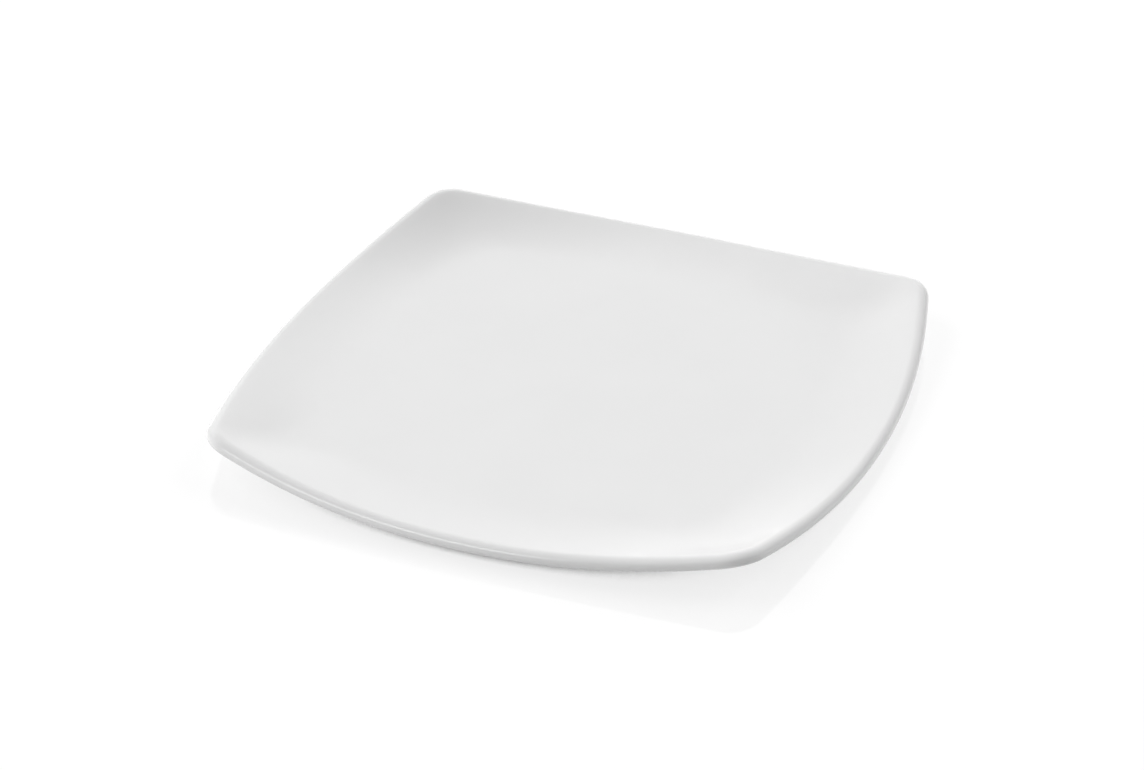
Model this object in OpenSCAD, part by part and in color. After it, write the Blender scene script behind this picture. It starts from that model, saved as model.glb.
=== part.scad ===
// Square dinner plate of white glazed porcelain, with bowed sides and upswept corners.
// Millimetres. The origin is the centre of the footprint on the table, +Z is up,
// and the middles of the sides face along X and Y.

/* [Outline] */
// Width across the middles of two opposite sides
plate_w = 260; // [210:1:320]
// How far each side bows out between its corners
side_bow = 17.3; // [6:0.1:24]
// Corner radius of the rim, seen from above
corner_r = 19; // [12:0.5:36]

/* [Border] */
// Width of the sloping border, from the edge of the well to the outside of the lip
border_w = 35; // [24:0.5:46]
// Rise of the lip above the well at the middle of a side
side_rise = 2.75; // [1:0.05:8]
// Rise of the lip above the well at a corner
corner_rise = 11.65; // [5:0.05:20]
// How late the lip sweeps up towards a corner, where 1 is an even rise
sweep = 1.13; // [0.8:0.01:2]
// How hollow the border is inside, where 1 is a straight slope
face_dish = 1.9; // [1.2:0.05:2.2]
// How hollow the border is underneath, where 1 is a straight slope
back_dish = 1.7; // [1.2:0.05:2.2]

/* [Lip] */
// Radius of the roll over the top of the lip
roll_r = 4.5; // [3:0.1:8]
// Radius of the nose, the outer edge of the lip
nose_r = 2.35; // [1.2:0.05:2.8]
// Tilt at which the roll gives way to the nose, in degrees
roll_end = 35; // [20:1:60]

/* [Well] */
// How far each side of the well bows out between its corners
well_bow = 12; // [6:0.5:18]
// Corner radius of the well, seen from above
well_corner_r = 30; // [24:0.5:50]
// Thickness of the floor, glaze included
floor_t = 4; // [3:0.1:6]

/* [Foot ring] */
// Distance that the foot ring stands in from the edge of the well
foot_in = 8; // [4:0.5:14]
// Width of the flat face that the plate rests on
foot_face_w = 3; // [2:0.1:5]
// Radius of the edges beside that face
foot_edge_r = 0.6; // [0.3:0.1:1]
// Depth ground off the foot ring to make that face flat
ground_t = 0.2; // [0.1:0.05:0.5]
// Height of bare clay on the flanks, above the rounded edges
bare_h = 0.3; // [0.2:0.1:1]
// Height of glaze on the flanks, below the fillets
glazed_h = 0.3; // [0.2:0.1:1]
// Radius of the fillets between the foot ring and the back
foot_fillet_r = 0.8; // [0.5:0.1:2]

/* [Glaze] */
// Thickness of the glaze
glaze_t = 0.3; // [0.2:0.05:0.5]

/* [Smoothness] */
// Facets along half of a side
side_steps = 5; // [3:1:10]
// Facets round a corner
corner_steps = 6; // [4:1:12]
// Facets across the border, on the face and on the back alike
border_steps = 6; // [4:1:10]
// Facets over the roll of the lip
roll_steps = 4; // [3:1:8]
// Facets round the nose of the lip
nose_steps = 8; // [4:1:10]
// Facets across each fillet and edge of the foot ring
foot_steps = 3; // [2:1:6]

/* [Hidden] */

glaze_white = "#e9e9e8";
bisque_white = "#dcd9d2";

// Heights above the table
glaze_line = foot_edge_r + bare_h;
fillet_h = glaze_line + glazed_h;
back_h = fillet_h + foot_fillet_r;
well_h = back_h + floor_t;

// Distance from the well's edge to the inner flank of the glazed foot ring
foot_t = foot_face_w + 2 * (foot_edge_r + glaze_t);
foot_far = foot_in + foot_t;

// Centres of the roll and of the nose: distance in from the outline, height over the crest
nose_in = nose_r;
crest_in = nose_in + (roll_r - nose_r) * sin(roll_end);
roll_up = -roll_r;
nose_up = roll_up + (roll_r - nose_r) * cos(roll_end);
nose_bottom = nose_up - nose_r;

// Stations round the plate: half a side, a corner and half a side in each quarter
quarter = 2 * side_steps + corner_steps;
stations = 4 * quarter;

rim_form = bowed_square(plate_w / 2, side_bow, corner_r);
well_form = bowed_square(plate_w / 2 - border_w, well_bow, well_corner_r);

// A square with bowed sides and round corners, from its half width, bow and corner radius.
// Gives [side radius, side centre, corner radius, corner centre, angle where they meet].
function bowed_square(half, bow, r) =
    let (
        side_r = ((half - bow) ^ 2 + bow ^ 2) / (2 * bow),
        side_c = half - side_r,
        corner_c = (side_c + sqrt(2 * (side_r - r) ^ 2 - side_c ^ 2)) / 2
    )
    [side_r, side_c, r, corner_c, atan2(corner_c, corner_c - side_c)];

// One station of a bowed square, taken in by a distance along its normal
function station(form, i, inset) =
    let (
        k = i % quarter,
        turn = 90 * floor(i / quarter),
        meet = form[4],
        on_first = k < side_steps,
        on_last = k > side_steps + corner_steps,
        a = on_first ? meet * k / side_steps
            : on_last ? 90 - meet * (quarter - k) / side_steps
            : meet + (90 - 2 * meet) * (k - side_steps) / corner_steps,
        centre = on_first ? [form[1], 0] : on_last ? [0, form[1]] : [form[3], form[3]],
        r = (on_first || on_last ? form[0] : form[2]) - inset,
        p = centre + r * [cos(a), sin(a)]
    )
    [p.x * cos(turn) - p.y * sin(turn), p.x * sin(turn) + p.y * cos(turn)];

// Height of the crest of the lip over a station
function crest_h(i) =
    let (
        low = norm(station(rim_form, 0, 0)),
        high = norm(station(rim_form, side_steps + corner_steps / 2, 0)),
        share = (norm(station(rim_form, i, 0)) - low) / (high - low)
    )
    well_h + side_rise + (corner_rise - side_rise) * max(0, share) ^ sweep;

// Slope angle at the outer end of the border's face, and of its back
function face_angle(i) =
    let (run = norm(station(rim_form, i, crest_in) - station(well_form, i, 0)))
    atan(face_dish * (crest_h(i) - well_h) / run);
function back_angle(i) =
    let (
        run = norm(station(rim_form, i, nose_in) - station(well_form, i, foot_in - foot_fillet_r))
    )
    atan(back_dish * (crest_h(i) + nose_bottom - back_h) / run);

// Points over one station: on a round of the lip at a tilt from upright, and on the foot ring
function lip_point(i, in, up, r, tilt) =
    let (p = station(rim_form, i, in - r * sin(tilt)))
    [p.x, p.y, crest_h(i) + up + r * cos(tilt)];
function foot_point(i, inset, h) =
    let (p = station(well_form, i, inset))
    [p.x, p.y, h];

// Rings of points
function ring(inset, h) = [for (i = [0 : stations - 1]) foot_point(i, inset, h)];
function roll_ring(s, depth) = [
    for (i = [0 : stations - 1])
    let (start = -face_angle(i))
    lip_point(i, crest_in, roll_up, roll_r - depth, start + (roll_end - start) * s)
];
function nose_ring(s, depth) = [
    for (i = [0 : stations - 1])
    let (end = 180 - back_angle(i))
    lip_point(i, nose_in, nose_up, nose_r - depth, roll_end + (end - roll_end) * s)
];

// Rings across the border between two given rings, leaving out both ends
function border_rings(low, high, dish) = [
    for (k = [1 : border_steps - 1])
    let (s = k / border_steps)
    [
        for (i = [0 : stations - 1])
        let (
            p = low[i] + (high[i] - low[i]) * s,
            h = low[i].z + (high[i].z - low[i].z) * s ^ dish
        )
        [p.x, p.y, h]
    ]
];
function reversed(list) = [for (k = [len(list) - 1 : -1 : 0]) list[k]];

// Rings of the coat from the edge of the well, over the lip, down the flank of the foot ring.
// A depth of 0 is the face of the glaze, and the glaze's thickness is the clay under it.
function coat_rings(depth) =
    let (
        well_edge = ring(0, well_h - depth),
        rolls = [for (k = [0 : roll_steps]) roll_ring(k / roll_steps, depth)],
        noses = [for (k = [1 : nose_steps]) nose_ring(k / nose_steps, depth)],
        fillet = outer_fillet(depth),
        flank_end = ring(foot_in + depth, foot_edge_r)
    )
    concat(
        [well_edge],
        border_rings(well_edge, rolls[0], face_dish),
        rolls,
        noses,
        reversed(border_rings(fillet[0], noses[nose_steps - 1], back_dish)),
        fillet,
        [flank_end]
    );
function outer_fillet(depth) = [
    for (k = [0 : foot_steps])
    let (a = 90 * k / foot_steps, r = foot_fillet_r + depth)
    ring(foot_in - foot_fillet_r + r * sin(a), fillet_h + r * cos(a))
];

// Rings of the recess, up the inner flank of the foot ring to the roof
function recess_rings(depth) = concat(
    [ring(foot_far - depth, foot_edge_r)],
    [
        for (k = [0 : foot_steps])
        let (a = 90 * k / foot_steps, r = foot_fillet_r + depth)
        ring(foot_far + foot_fillet_r - r * cos(a), fillet_h + r * sin(a))
    ]
);

// Rings round the underside of the foot ring, with the crown that is ground off
function crown_rings() =
    let (outer = foot_in + glaze_t, inner = foot_far - glaze_t, r = foot_edge_r)
    concat(
        [
            for (k = [1 : foot_steps])
            let (a = 90 * k / foot_steps)
            ring(outer + r - r * cos(a), r - r * sin(a))
        ],
        [ring((outer + inner) / 2, -ground_t)],
        [
            for (k = [0 : foot_steps - 1])
            let (a = 90 * k / foot_steps)
            ring(inner - r + r * sin(a), r - r * cos(a))
        ]
    );

// A closed skin over a row of rings, with the first and the last ring capped flat.
// The bands in the given span are split along the other diagonal, so that two skins which run
// over the same rings in opposite senses meet in the same triangles.
module skin(rings, other_from, other_to) {
    last = len(rings) - 1;
    bands = [
        for (k = [0 : last - 1])
        for (i = [0 : stations - 1])
        let (
            a = k * stations + i,
            b = k * stations + (i + 1) % stations,
            c = a + stations,
            d = b + stations
        )
        each k >= other_from && k < other_to ? [[a, b, c], [b, d, c]] : [[a, b, d], [a, d, c]]
    ];
    caps = [
        [for (i = [stations - 1 : -1 : 0]) i],
        [for (i = [0 : stations - 1]) last * stations + i]
    ];
    polyhedron(points = [for (r = rings) each r], faces = concat(bands, caps));
}

// Everything below a height
module below(h) {
    translate([-plate_w, -plate_w, h - plate_w]) cube([2 * plate_w, 2 * plate_w, plate_w]);
}

// The pressed clay plate, with its foot ring ground flat
module porcelain_body() {
    rings = concat(coat_rings(glaze_t), crown_rings(), recess_rings(glaze_t));
    color(bisque_white) difference() {
        skin(rings, 0, 0);
        below(0);
    }
}

// Glaze over the face, the lip and the back, wiped off the lower flank of the foot ring
module glaze_coat() {
    face = coat_rings(0);
    rings = concat(face, reversed(coat_rings(glaze_t)));
    color(glaze_white) difference() {
        skin(rings, len(face), len(rings));
        below(glaze_line);
    }
}

// Glaze inside the foot ring, wiped off in the same way
module recess_glaze() {
    face = recess_rings(0);
    rings = concat(reversed(recess_rings(glaze_t)), face);
    color(glaze_white) difference() {
        skin(rings, 0, len(face) - 1);
        below(glaze_line);
    }
}

porcelain_body();
glaze_coat();
recess_glaze();
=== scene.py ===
import math

import bmesh
import bpy
from mathutils import Matrix, Vector


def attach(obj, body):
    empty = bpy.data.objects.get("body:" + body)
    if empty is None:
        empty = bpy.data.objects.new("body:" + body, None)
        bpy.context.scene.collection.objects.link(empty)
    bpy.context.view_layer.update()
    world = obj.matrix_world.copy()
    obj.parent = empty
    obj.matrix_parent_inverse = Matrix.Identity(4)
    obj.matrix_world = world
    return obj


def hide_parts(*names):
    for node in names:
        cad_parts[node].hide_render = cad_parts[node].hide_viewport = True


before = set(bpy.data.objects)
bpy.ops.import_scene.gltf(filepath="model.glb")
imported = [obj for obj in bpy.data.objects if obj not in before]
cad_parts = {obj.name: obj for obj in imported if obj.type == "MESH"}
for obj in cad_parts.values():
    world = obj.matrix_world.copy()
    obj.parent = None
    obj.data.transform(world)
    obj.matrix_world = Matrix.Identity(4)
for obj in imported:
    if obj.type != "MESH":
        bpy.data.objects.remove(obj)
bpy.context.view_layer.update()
mm = 0.001
print("frame loaded:", ", ".join(sorted(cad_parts)))

# Form of the whole plate in mm, with the sizes of the part's source
plateForm = {
    "width": 260.0,  # across the middles of two sides
    "sideBow": 17.3,
    "cornerR": 19.0,
    "border": 35.0,  # from the edge of the well to the outside of the lip
    "sideRise": 2.75,  # lip over the well, at the middle of a side
    "cornerRise": 11.65,  # and at a corner
    "sweep": 1.13,  # how late the lip turns up towards a corner
    "faceDish": 1.9,  # hollow of the border, 1 is a straight slope
    "backDish": 1.7,
    "rollR": 4.5,  # top of the lip
    "noseR": 2.35,  # outer edge of the lip
    "rollEnd": 35.0,  # tilt where the roll gives way to the nose
    "wellBow": 12.0,
    "wellCornerR": 30.0,
    "floor": 4.0,
    "footIn": 8.0,  # foot ring, in from the edge of the well
    "footFace": 3.0,
    "footEdgeR": 0.6,
    "footFilletR": 0.8,
    "bare": 0.3,  # clay left bare on the flanks
    "glazed": 0.3,  # glaze on the flanks
    "glaze": 0.3,  # thickness
}
# Stops of the cage, which the subdivision then halves
cage = {
    "side": 12,  # slices along half a side
    "corner": 12,
    "wellShares": (0.1, 0.3, 0.5, 0.7, 0.85, 0.95),
    "border": 10,
    "roll": 5,
    "nose": 8,
    "fillet": 4,
    "mergeWithin": 0.001,  # mm
    "subdivision": 1,
}

glazeLine = plateForm["footEdgeR"] + plateForm["bare"]
filletH = glazeLine + plateForm["glazed"]
backH = filletH + plateForm["footFilletR"]
wellH = backH + plateForm["floor"]
footWide = plateForm["footFace"] + 2 * (plateForm["footEdgeR"] + plateForm["glaze"])
footFar = plateForm["footIn"] + footWide  # inner flank, in from the edge of the well

# centres of the two rounds of the lip: in from the outline, and up from the crest
rollEnd = math.radians(plateForm["rollEnd"])
rollMore = plateForm["rollR"] - plateForm["noseR"]
noseIn = plateForm["noseR"]
crestIn = noseIn + rollMore * math.sin(rollEnd)
rollUp = -plateForm["rollR"]
noseUp = rollUp + rollMore * math.cos(rollEnd)
noseBottom = noseUp - plateForm["noseR"]


def bowedSquare(half, bow, cornerR):
    # points and outward directions round a square with bowed sides and round corners
    sideR = ((half - bow) ** 2 + bow**2) / (2 * bow)
    sideX = half - sideR
    cornerX = (sideX + math.sqrt(2 * (sideR - cornerR) ** 2 - sideX**2)) / 2
    meet = math.atan2(cornerX, cornerX - sideX)
    side, corner = cage["side"], cage["corner"]
    quarter = [(meet * k / side, (sideX, 0), sideR) for k in range(side)]
    for k in range(corner):
        a = meet + (math.pi / 2 - 2 * meet) * k / corner
        quarter.append((a, (cornerX, cornerX), cornerR))
    for k in range(side):
        quarter.append((math.pi / 2 - meet * (1 - k / side), (0, sideX), sideR))
    line = []
    for n in range(4):
        turn = Matrix.Rotation(n * math.pi / 2, 2)
        for a, centre, r in quarter:
            outward = Vector((math.cos(a), math.sin(a)))
            line.append((turn @ (Vector(centre) + r * outward), turn @ outward))
    return line


rimLine = bowedSquare(plateForm["width"] / 2, plateForm["sideBow"], plateForm["cornerR"])
wellLine = bowedSquare(
    plateForm["width"] / 2 - plateForm["border"], plateForm["wellBow"], plateForm["wellCornerR"]
)
sliceCount = len(rimLine)
reach = [point.length for point, outward in rimLine]
crestH = []
for r in reach:
    share = (r - min(reach)) / (max(reach) - min(reach))
    rise = plateForm["cornerRise"] - plateForm["sideRise"]
    crestH.append(wellH + plateForm["sideRise"] + rise * share ** plateForm["sweep"])


def inFrom(line, i, distance, height):
    # a stop of slice i at a distance in from an outline
    point, outward = line[i]
    return (point - outward * distance).to_3d() + Vector((0, 0, height))


def lipStops(i, inset, up, r, start, end, steps):
    # round of the lip, by its tilt from upright
    stops = []
    for k in range(steps + 1):
        tilt = start + (end - start) * k / steps
        stops.append(
            inFrom(rimLine, i, inset - r * math.sin(tilt), crestH[i] + up + r * math.cos(tilt))
        )
    return stops


def borderStops(low, high, dish):
    # hollow slope between two stops, leaving both out
    stops = []
    for k in range(1, cage["border"]):
        s = k / cage["border"]
        stop = low.lerp(high, s)
        stop.z = low.z + (high.z - low.z) * s**dish
        stops.append(stop)
    return stops


def slopeAt(low, high, dish):
    return math.atan(dish * (high.z - low.z) / (high - low).to_2d().length)


def filletStops(i, centreIn, inward, r, turnUp):
    # quarter round between the foot ring and the back
    stops = []
    for k in range(cage["fillet"] + 1):
        a = math.pi / 2 * k / cage["fillet"]
        out, rise = (math.sin(a), math.cos(a)) if not turnUp else (math.cos(a), math.sin(a))
        stops.append(inFrom(wellLine, i, centreIn + inward * r * out, filletH + r * rise))
    return stops


def faceToFoot(i, depth):
    # one slice from the middle of the well, over the lip, to the outer fillet of the foot ring
    well = inFrom(wellLine, i, 0, wellH - depth)
    stops = [Vector((0, 0, wellH - depth))]
    for share in cage["wellShares"]:
        stops.append(Vector((well.x * share, well.y * share, well.z)))
    stops.append(well)

    crest = inFrom(rimLine, i, crestIn, crestH[i])
    faceTilt = slopeAt(inFrom(wellLine, i, 0, wellH), crest, plateForm["faceDish"])
    roll = lipStops(
        i, crestIn, rollUp, plateForm["rollR"] - depth, -faceTilt, rollEnd, cage["roll"]
    )
    stops += borderStops(well, roll[0], plateForm["faceDish"]) + roll

    fillet = filletStops(
        i,
        plateForm["footIn"] - plateForm["footFilletR"],
        1,
        plateForm["footFilletR"] + depth,
        False,
    )
    backStart = inFrom(wellLine, i, plateForm["footIn"] - plateForm["footFilletR"], backH)
    noseEnd = inFrom(rimLine, i, noseIn, crestH[i] + noseBottom)
    backTilt = slopeAt(backStart, noseEnd, plateForm["backDish"])
    nose = lipStops(
        i, noseIn, noseUp, plateForm["noseR"] - depth, rollEnd, math.pi - backTilt, cage["nose"]
    )
    stops += nose[1:]
    stops += borderStops(fillet[0], nose[-1], plateForm["backDish"])[::-1]
    return stops + fillet


def recessStops(i, depth):
    # from the inner fillet of the foot ring to the middle of the recess
    fillet = filletStops(
        i, footFar + plateForm["footFilletR"], -1, plateForm["footFilletR"] + depth, True
    )
    roof = fillet[-1]
    stops = list(fillet)
    for share in cage["wellShares"][::-1]:
        stops.append(Vector((roof.x * share, roof.y * share, roof.z)))
    stops.append(Vector((0, 0, roof.z)))
    return stops


def spinSlices(sliceAt):
    # spins the first slice round, then draws every other slice from the round to its own place
    bm = bmesh.new()
    stopOf = bm.verts.layers.int.new("stop")
    chain = [bm.verts.new(stop * mm) for stop in sliceAt(0)]
    for k, vert in enumerate(chain):
        vert[stopOf] = k
    edges = [bm.edges.new(pair) for pair in zip(chain, chain[1:])]
    bmesh.ops.spin(
        bm,
        geom=chain + edges,
        cent=(0, 0, 0),
        axis=(0, 0, 1),
        angle=2 * math.pi,
        steps=sliceCount,
        use_merge=True,
    )
    slices = [sliceAt(i) for i in range(sliceCount)]
    for vert in bm.verts:
        turned = math.atan2(vert.co.y, vert.co.x) / (2 * math.pi)
        vert.co = slices[round(turned * sliceCount) % sliceCount][vert[stopOf]] * mm
    bmesh.ops.remove_doubles(bm, verts=bm.verts, dist=cage["mergeWithin"] * mm)
    bmesh.ops.recalc_face_normals(bm, faces=bm.faces)
    bm.verts.layers.int.remove(bm.verts.layers.int["stop"])
    return bm


def makePiece(name, bm, material, wall=0):
    for face in bm.faces:
        face.smooth = True
    mesh = bpy.data.meshes.new(name)
    bm.to_mesh(mesh)
    bm.free()
    mesh.materials.append(material)
    piece = bpy.data.objects.new(name, mesh)
    bpy.context.scene.collection.objects.link(piece)
    if wall:
        solidify = piece.modifiers.new("wall", "SOLIDIFY")
        solidify.thickness = wall * mm
        solidify.offset = -1
    subdivision = piece.modifiers.new("smooth", "SUBSURF")
    subdivision.levels = subdivision.render_levels = cage["subdivision"]
    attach(piece, "root")
    return piece


def addNode(tree, kind, values=None, **settings):
    node = tree.nodes.new(kind)
    for key, value in settings.items():
        setattr(node, key, value)
    for socket, value in (values or {}).items():
        node.inputs[socket].default_value = value
    return node


def backgroundRays(tree):
    # 1 for the rays that show the white background: the camera's own, reflected or passed on
    lightPath = addNode(tree, "ShaderNodeLightPath")
    rays = lightPath.outputs["Is Camera Ray"]
    for kind in ("Is Glossy Ray", "Is Transmission Ray"):
        either = addNode(tree, "ShaderNodeMath", operation="MAXIMUM")
        tree.links.new(rays, either.inputs[0])
        tree.links.new(lightPath.outputs[kind], either.inputs[1])
        rays = either.outputs[0]
    return rays


# What the kiln leaves in glaze and bare clay alike: faint clouds in the white, and a fine grain
firing = {
    "cloudDetail": 3.0,
    "cloudRoughness": 0.55,
    "cloudSpan": (0.3, 0.7),  # part of the noise that runs from pale to deep
    "grainDetail": 2.0,
    "grainRoughness": 0.5,
}
firedGroup = bpy.data.node_groups.new("firedSurface", "ShaderNodeTree")
for socketName, kind in (
    ("Vector", "NodeSocketVector"),
    ("Pale", "NodeSocketColor"),
    ("Deep", "NodeSocketColor"),
    ("Cloud Scale", "NodeSocketFloat"),
    ("Grain Scale", "NodeSocketFloat"),
):
    firedGroup.interface.new_socket(socketName, in_out="INPUT", socket_type=kind)
for socketName, kind in (
    ("Color", "NodeSocketColor"),
    ("Cloud", "NodeSocketFloat"),
    ("Grain", "NodeSocketFloat"),
):
    firedGroup.interface.new_socket(socketName, in_out="OUTPUT", socket_type=kind)
groupIn = addNode(firedGroup, "NodeGroupInput")
groupOut = addNode(firedGroup, "NodeGroupOutput")
cloud = addNode(
    firedGroup,
    "ShaderNodeTexNoise",
    {"Detail": firing["cloudDetail"], "Roughness": firing["cloudRoughness"]},
)
grain = addNode(
    firedGroup,
    "ShaderNodeTexNoise",
    {"Detail": firing["grainDetail"], "Roughness": firing["grainRoughness"]},
)
spread = addNode(
    firedGroup,
    "ShaderNodeMapRange",
    {"From Min": firing["cloudSpan"][0], "From Max": firing["cloudSpan"][1]},
    interpolation_type="SMOOTHSTEP",
)
blend = addNode(firedGroup, "ShaderNodeMix", data_type="RGBA")
link = firedGroup.links.new
link(groupIn.outputs["Vector"], cloud.inputs["Vector"])
link(groupIn.outputs["Vector"], grain.inputs["Vector"])
link(groupIn.outputs["Cloud Scale"], cloud.inputs["Scale"])
link(groupIn.outputs["Grain Scale"], grain.inputs["Scale"])
link(cloud.outputs["Fac"], spread.inputs["Value"])
link(spread.outputs["Result"], blend.inputs["Factor"])
link(groupIn.outputs["Pale"], blend.inputs["A"])
link(groupIn.outputs["Deep"], blend.inputs["B"])
link(blend.outputs["Result"], groupOut.inputs["Color"])
link(spread.outputs["Result"], groupOut.inputs["Cloud"])
link(grain.outputs["Fac"], groupOut.inputs["Grain"])


def firedMaterial(name, look):
    material = bpy.data.materials.new(name)
    material.use_nodes = True
    tree = material.node_tree
    shader = tree.nodes["Principled BSDF"]
    shader.inputs["IOR"].default_value = look["ior"]
    place = addNode(tree, "ShaderNodeTexCoord")
    fired = addNode(tree, "ShaderNodeGroup", node_tree=firedGroup)
    fired.inputs["Pale"].default_value = (*look["pale"], 1)
    fired.inputs["Deep"].default_value = (*look["deep"], 1)
    fired.inputs["Cloud Scale"].default_value = look["cloudScale"]
    fired.inputs["Grain Scale"].default_value = look["grainScale"]
    gloss = addNode(
        tree,
        "ShaderNodeMapRange",
        {"To Min": look["roughness"][0], "To Max": look["roughness"][1]},
    )
    bump = addNode(
        tree, "ShaderNodeBump", {"Strength": look["bump"], "Distance": look["grainDepth"] * mm}
    )
    tree.links.new(place.outputs["Object"], fired.inputs["Vector"])
    tree.links.new(fired.outputs["Color"], shader.inputs["Base Color"])
    tree.links.new(fired.outputs["Cloud"], gloss.inputs["Value"])
    tree.links.new(gloss.outputs["Result"], shader.inputs["Roughness"])
    tree.links.new(fired.outputs["Grain"], bump.inputs["Height"])
    tree.links.new(bump.outputs["Normal"], shader.inputs["Normal"])
    return material


whiteGlaze = firedMaterial(
    "whiteGlaze",
    {
        "pale": (0.805, 0.805, 0.805),
        "deep": (0.795, 0.795, 0.795),
        "cloudScale": 24.0,
        "grainScale": 320.0,
        "roughness": (0.04, 0.07),
        "bump": 0.15,
        "grainDepth": 0.02,
        "ior": 1.5,
    },
)
bareClay = firedMaterial(
    "bareClay",
    {
        "pale": (0.76, 0.74, 0.7),
        "deep": (0.69, 0.66, 0.61),
        "cloudScale": 140.0,
        "grainScale": 4500.0,
        "roughness": (0.55, 0.7),
        "bump": 0.5,
        "grainDepth": 0.05,
        "ior": 1.45,
    },
)
print("materials made")

# Outer coat of glaze, down to the line where the foot was wiped
coat = {
    "shy": 0.01,  # kept inside the part's own skin, mm
    "wipeWave": 0.14,  # height of the wavy edge, mm
    "wipeTurns": (5, 13, 29),  # waves round the foot
}


def wipedLine(i):
    # the sponge leaves a slightly wavy edge, never lower than the part's own glaze line
    a = 2 * math.pi * i / sliceCount
    wave = sum(math.sin(n * a + n) / (k + 1) for k, n in enumerate(coat["wipeTurns"]))
    most = sum(1 / (k + 1) for k in range(len(coat["wipeTurns"])))
    return glazeLine + coat["wipeWave"] * (0.5 + 0.5 * wave / most)


def coatSlice(i):
    end = inFrom(wellLine, i, plateForm["footIn"] + coat["shy"], wipedLine(i))
    return faceToFoot(i, coat["shy"]) + [end]


coatWall = plateForm["glaze"] - coat["shy"]
glazeCoat = makePiece("glazeCoat", spinSlices(coatSlice), whiteGlaze, coatWall)
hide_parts("glaze_coat")
print("glaze coat made")


# Patch of glaze inside the foot ring
def recessSlice(i):
    start = inFrom(wellLine, i, footFar - coat["shy"], wipedLine(sliceCount - i))
    return [start] + recessStops(i, coat["shy"])


recessGlaze = makePiece("recessGlaze", spinSlices(recessSlice), whiteGlaze, coatWall)
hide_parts("recess_glaze")
print("recess glaze made")

# Clay body, bare only on its foot
foot = {
    "edgeSteps": 4,
    "faceStops": (0.06, 0.35, 0.65, 0.94),  # shares of the flat face
}


def bodySlice(i):
    depth, r = plateForm["glaze"], plateForm["footEdgeR"]
    outer, inner = plateForm["footIn"] + depth, footFar - depth
    stops = faceToFoot(i, depth)
    stops.append(inFrom(wellLine, i, outer, glazeLine))
    turns = [math.pi / 2 * k / foot["edgeSteps"] for k in range(foot["edgeSteps"] + 1)]
    for a in turns:
        stops.append(inFrom(wellLine, i, outer + r - r * math.cos(a), r - r * math.sin(a)))
    for share in foot["faceStops"]:
        stops.append(inFrom(wellLine, i, outer + r + plateForm["footFace"] * share, 0))
    for a in turns:
        stops.append(inFrom(wellLine, i, inner - r + r * math.sin(a), r - r * math.cos(a)))
    stops.append(inFrom(wellLine, i, inner, glazeLine))
    return stops + recessStops(i, depth)


porcelainBody = makePiece("porcelainBody", spinSlices(bodySlice), bareClay)
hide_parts("porcelain_body")
print("clay body made")

# Table top: pale and glossy, lifted to white where the camera or the gloss sees it in the open,
# and not there from below
table = {
    "half": 6.0,  # m
    "color": 0.7,
    "roughness": 0.03,
    "ior": 1.67,
    "lift": 0.785,  # share of plain white
    "shadeReach": 0.015,  # how far off the plate still shades the floor, m
    "shadeOpen": (0.09, 0.19),  # share of open sky from deep shade to full lift
}
bm = bmesh.new()
bmesh.ops.create_grid(bm, x_segments=1, y_segments=1, size=table["half"])
floorMesh = bpy.data.meshes.new("floor")
bm.to_mesh(floorMesh)
bm.free()
floor = bpy.data.objects.new("floor", floorMesh)
bpy.context.scene.collection.objects.link(floor)
tableTop = bpy.data.materials.new("tableTop")
tableTop.use_nodes = True
floorMesh.materials.append(tableTop)
tree = tableTop.node_tree
plain = tree.nodes["Principled BSDF"]
lifted = addNode(tree, "ShaderNodeBsdfPrincipled")
for shader, color in ((plain, table["color"]), (lifted, table["color"] * (1 - table["lift"]))):
    shader.inputs["Base Color"].default_value = (color, color, color, 1)
    shader.inputs["Roughness"].default_value = table["roughness"]
    shader.inputs["IOR"].default_value = table["ior"]
lifted.inputs["Emission Color"].default_value = (1, 1, 1, 1)
lifted.inputs["Emission Strength"].default_value = table["lift"]
openSky = addNode(tree, "ShaderNodeAmbientOcclusion", {"Distance": table["shadeReach"]})
openShare = addNode(
    tree,
    "ShaderNodeMapRange",
    {"From Min": table["shadeOpen"][0], "From Max": table["shadeOpen"][1]},
    interpolation_type="SMOOTHSTEP",
)
seen = addNode(tree, "ShaderNodeMath", operation="MULTIPLY")
floorLook = addNode(tree, "ShaderNodeMixShader")
geometry = addNode(tree, "ShaderNodeNewGeometry")
clear = addNode(tree, "ShaderNodeBsdfTransparent")
oneSided = addNode(tree, "ShaderNodeMixShader")
link = tree.links.new
link(openSky.outputs["AO"], openShare.inputs["Value"])
link(backgroundRays(tree), seen.inputs[0])
link(openShare.outputs["Result"], seen.inputs[1])
link(seen.outputs[0], floorLook.inputs["Fac"])
link(plain.outputs[0], floorLook.inputs[1])
link(lifted.outputs[0], floorLook.inputs[2])
link(geometry.outputs["Backfacing"], oneSided.inputs["Fac"])
link(floorLook.outputs[0], oneSided.inputs[1])
link(clear.outputs[0], oneSided.inputs[2])
link(oneSided.outputs[0], tree.nodes["Material Output"].inputs["Surface"])
print("floor made")

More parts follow.
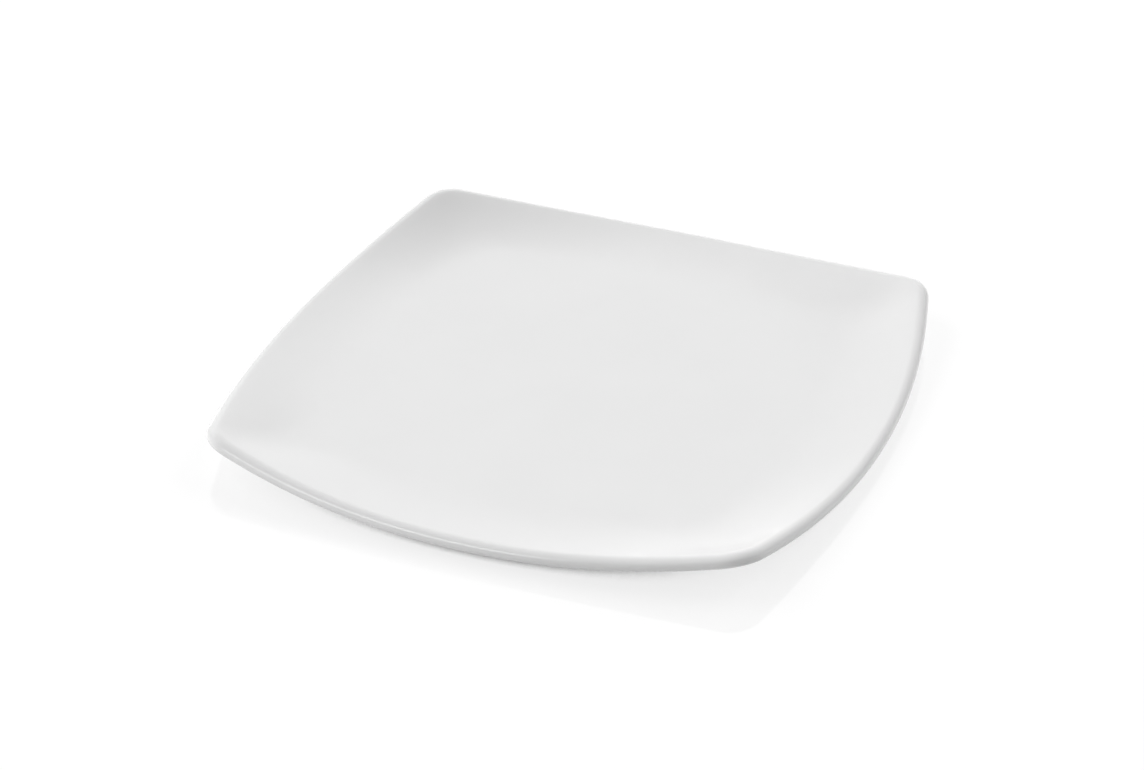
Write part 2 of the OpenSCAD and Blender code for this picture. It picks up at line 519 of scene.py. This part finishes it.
# A softbox at the front left that shows in the gloss, soft light from the left and from behind,
# and a low fill from the front, in a white room
roomLight = 0.015
lamps = {
    "softbox": {"strength": 0.74, "turn": 146.0, "height": 38.0, "angle": 28.0, "inGloss": True},
    "left": {"strength": 1.68, "turn": 92.0, "height": 40.0, "angle": 40.0, "inGloss": False},
    "backLeft": {"strength": 0.72, "turn": 60.0, "height": 24.0, "angle": 40.0, "inGloss": False},
    "backRight": {"strength": 1.9, "turn": 316.0, "height": 31.0, "angle": 50.0, "inGloss": False},
    "back": {"strength": 0.76, "turn": 0.0, "height": 12.0, "angle": 30.0, "inGloss": False},
    "front": {"strength": 0.64, "turn": 150.0, "height": 10.0, "angle": 30.0, "inGloss": False},
}  # turns in degrees round from +Y towards -X
scene = bpy.context.scene
scene.view_settings.view_transform = "Standard"
world = bpy.data.worlds.new("whiteRoom")
scene.world = world
world.use_nodes = True
tree = world.node_tree
room = tree.nodes["Background"]
room.inputs["Color"].default_value = (1, 1, 1, 1)
room.inputs["Strength"].default_value = roomLight
backdrop = addNode(tree, "ShaderNodeBackground", {"Color": (1, 1, 1, 1), "Strength": 1.0})
pick = addNode(tree, "ShaderNodeMixShader")
link = tree.links.new
link(backgroundRays(tree), pick.inputs["Fac"])
link(room.outputs[0], pick.inputs[1])
link(backdrop.outputs[0], pick.inputs[2])
link(pick.outputs[0], tree.nodes["World Output"].inputs["Surface"])

for name, look in lamps.items():
    sun = bpy.data.lights.new(name, "SUN")
    sun.energy = look["strength"]
    sun.angle = math.radians(look["angle"])
    lamp = bpy.data.objects.new(name, sun)
    lamp.rotation_euler = (math.radians(look["height"] - 90), 0, math.radians(look["turn"]))
    lamp.visible_glossy = look["inGloss"]
    scene.collection.objects.link(lamp)
print("light set")

# Camera, from the picture's perspective
shot = {
    "lens": 104.19,  # mm
    "distance": 1.3467,  # m
    "turn": 22.26,  # degrees
    "height": 31.35,
    "aside": (-0.00306, 0.00281),  # right and up, m
}
camera = bpy.data.objects.new("camera", bpy.data.cameras.new("camera"))
camera.data.lens = shot["lens"]
camera.rotation_euler = (math.radians(90 - shot["height"]), 0, math.radians(shot["turn"]))
camera.location = camera.rotation_euler.to_matrix() @ Vector((*shot["aside"], shot["distance"]))
scene.collection.objects.link(camera)
scene.camera = camera
print("camera set")
